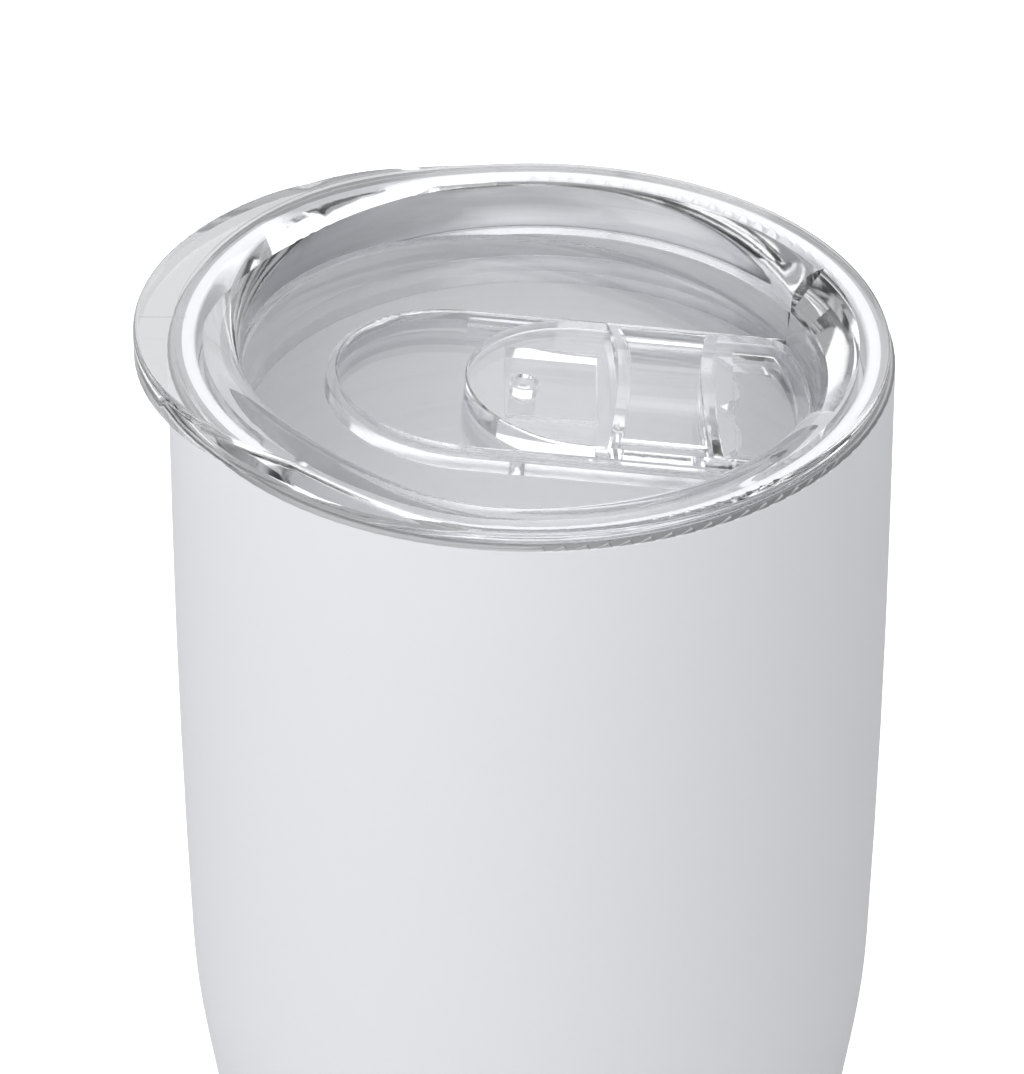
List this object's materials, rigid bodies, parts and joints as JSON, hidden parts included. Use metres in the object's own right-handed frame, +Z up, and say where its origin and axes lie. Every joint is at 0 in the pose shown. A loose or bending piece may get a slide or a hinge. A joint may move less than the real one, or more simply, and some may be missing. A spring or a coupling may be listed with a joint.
{
  "type": "insulated tumbler with lid",
  "caption": "Double-wall insulated drinking cup with a clear press-in lid, lift tab, sloping deck and sliding drink closure.",
  "frame": {"origin": "centre of the foot, on the surface the tumbler stands on", "axes": "+Z up along the cup's axis, +X towards the drink hole, so the lid's lift tab points to -X"},
  "size_m": [0.0868, 0.083, 0.1446],
  "materials": {
    "white_coat": "white powder coat, fine satin, over stainless steel",
    "liner_steel": "brushed and electropolished stainless steel",
    "foil": "thin reflective metal foil, lightly crinkled",
    "pressed_steel": "pressed stainless steel, mill finish",
    "solder_glass": "fused solder glass, dark and glossy",
    "getter_alloy": "sintered metal, matt dark grey",
    "base_rubber": "moulded silicone pad, matt light grey",
    "clear_lid": "clear rigid plastic, glossy",
    "gasket_silicone": "translucent silicone, satin",
    "clear_slider": "clear rigid plastic, glossy"
  },
  "bodies": {
    "tumbler": {"outer_wall": "white_coat", "inner_wall": "liner_steel", "inner_bottom": "liner_steel", "reflective_foil": "foil", "vacuum_bottom": "pressed_steel", "seal_bead": "solder_glass", "getter_clip": "pressed_steel", "getter": "getter_alloy", "bottom_cover": "pressed_steel", "base_pad": "base_rubber"},
    "lid_body": {"lid": "clear_lid", "lid_gasket": "gasket_silicone"},
    "slider_body": {"slider": "clear_slider"}
  },
  "joints": [
    {"name": "lid_lift", "type": "slide", "parent": "tumbler", "child": "lid_body", "axis": [0, 0, 1], "range_m": [0, 0.04]},
    {"name": "slider_travel", "type": "slide", "parent": "lid_body", "child": "slider_body", "axis": [-0.9945, 0, 0.1045], "range_m": [0, 0.014]}
  ]
}
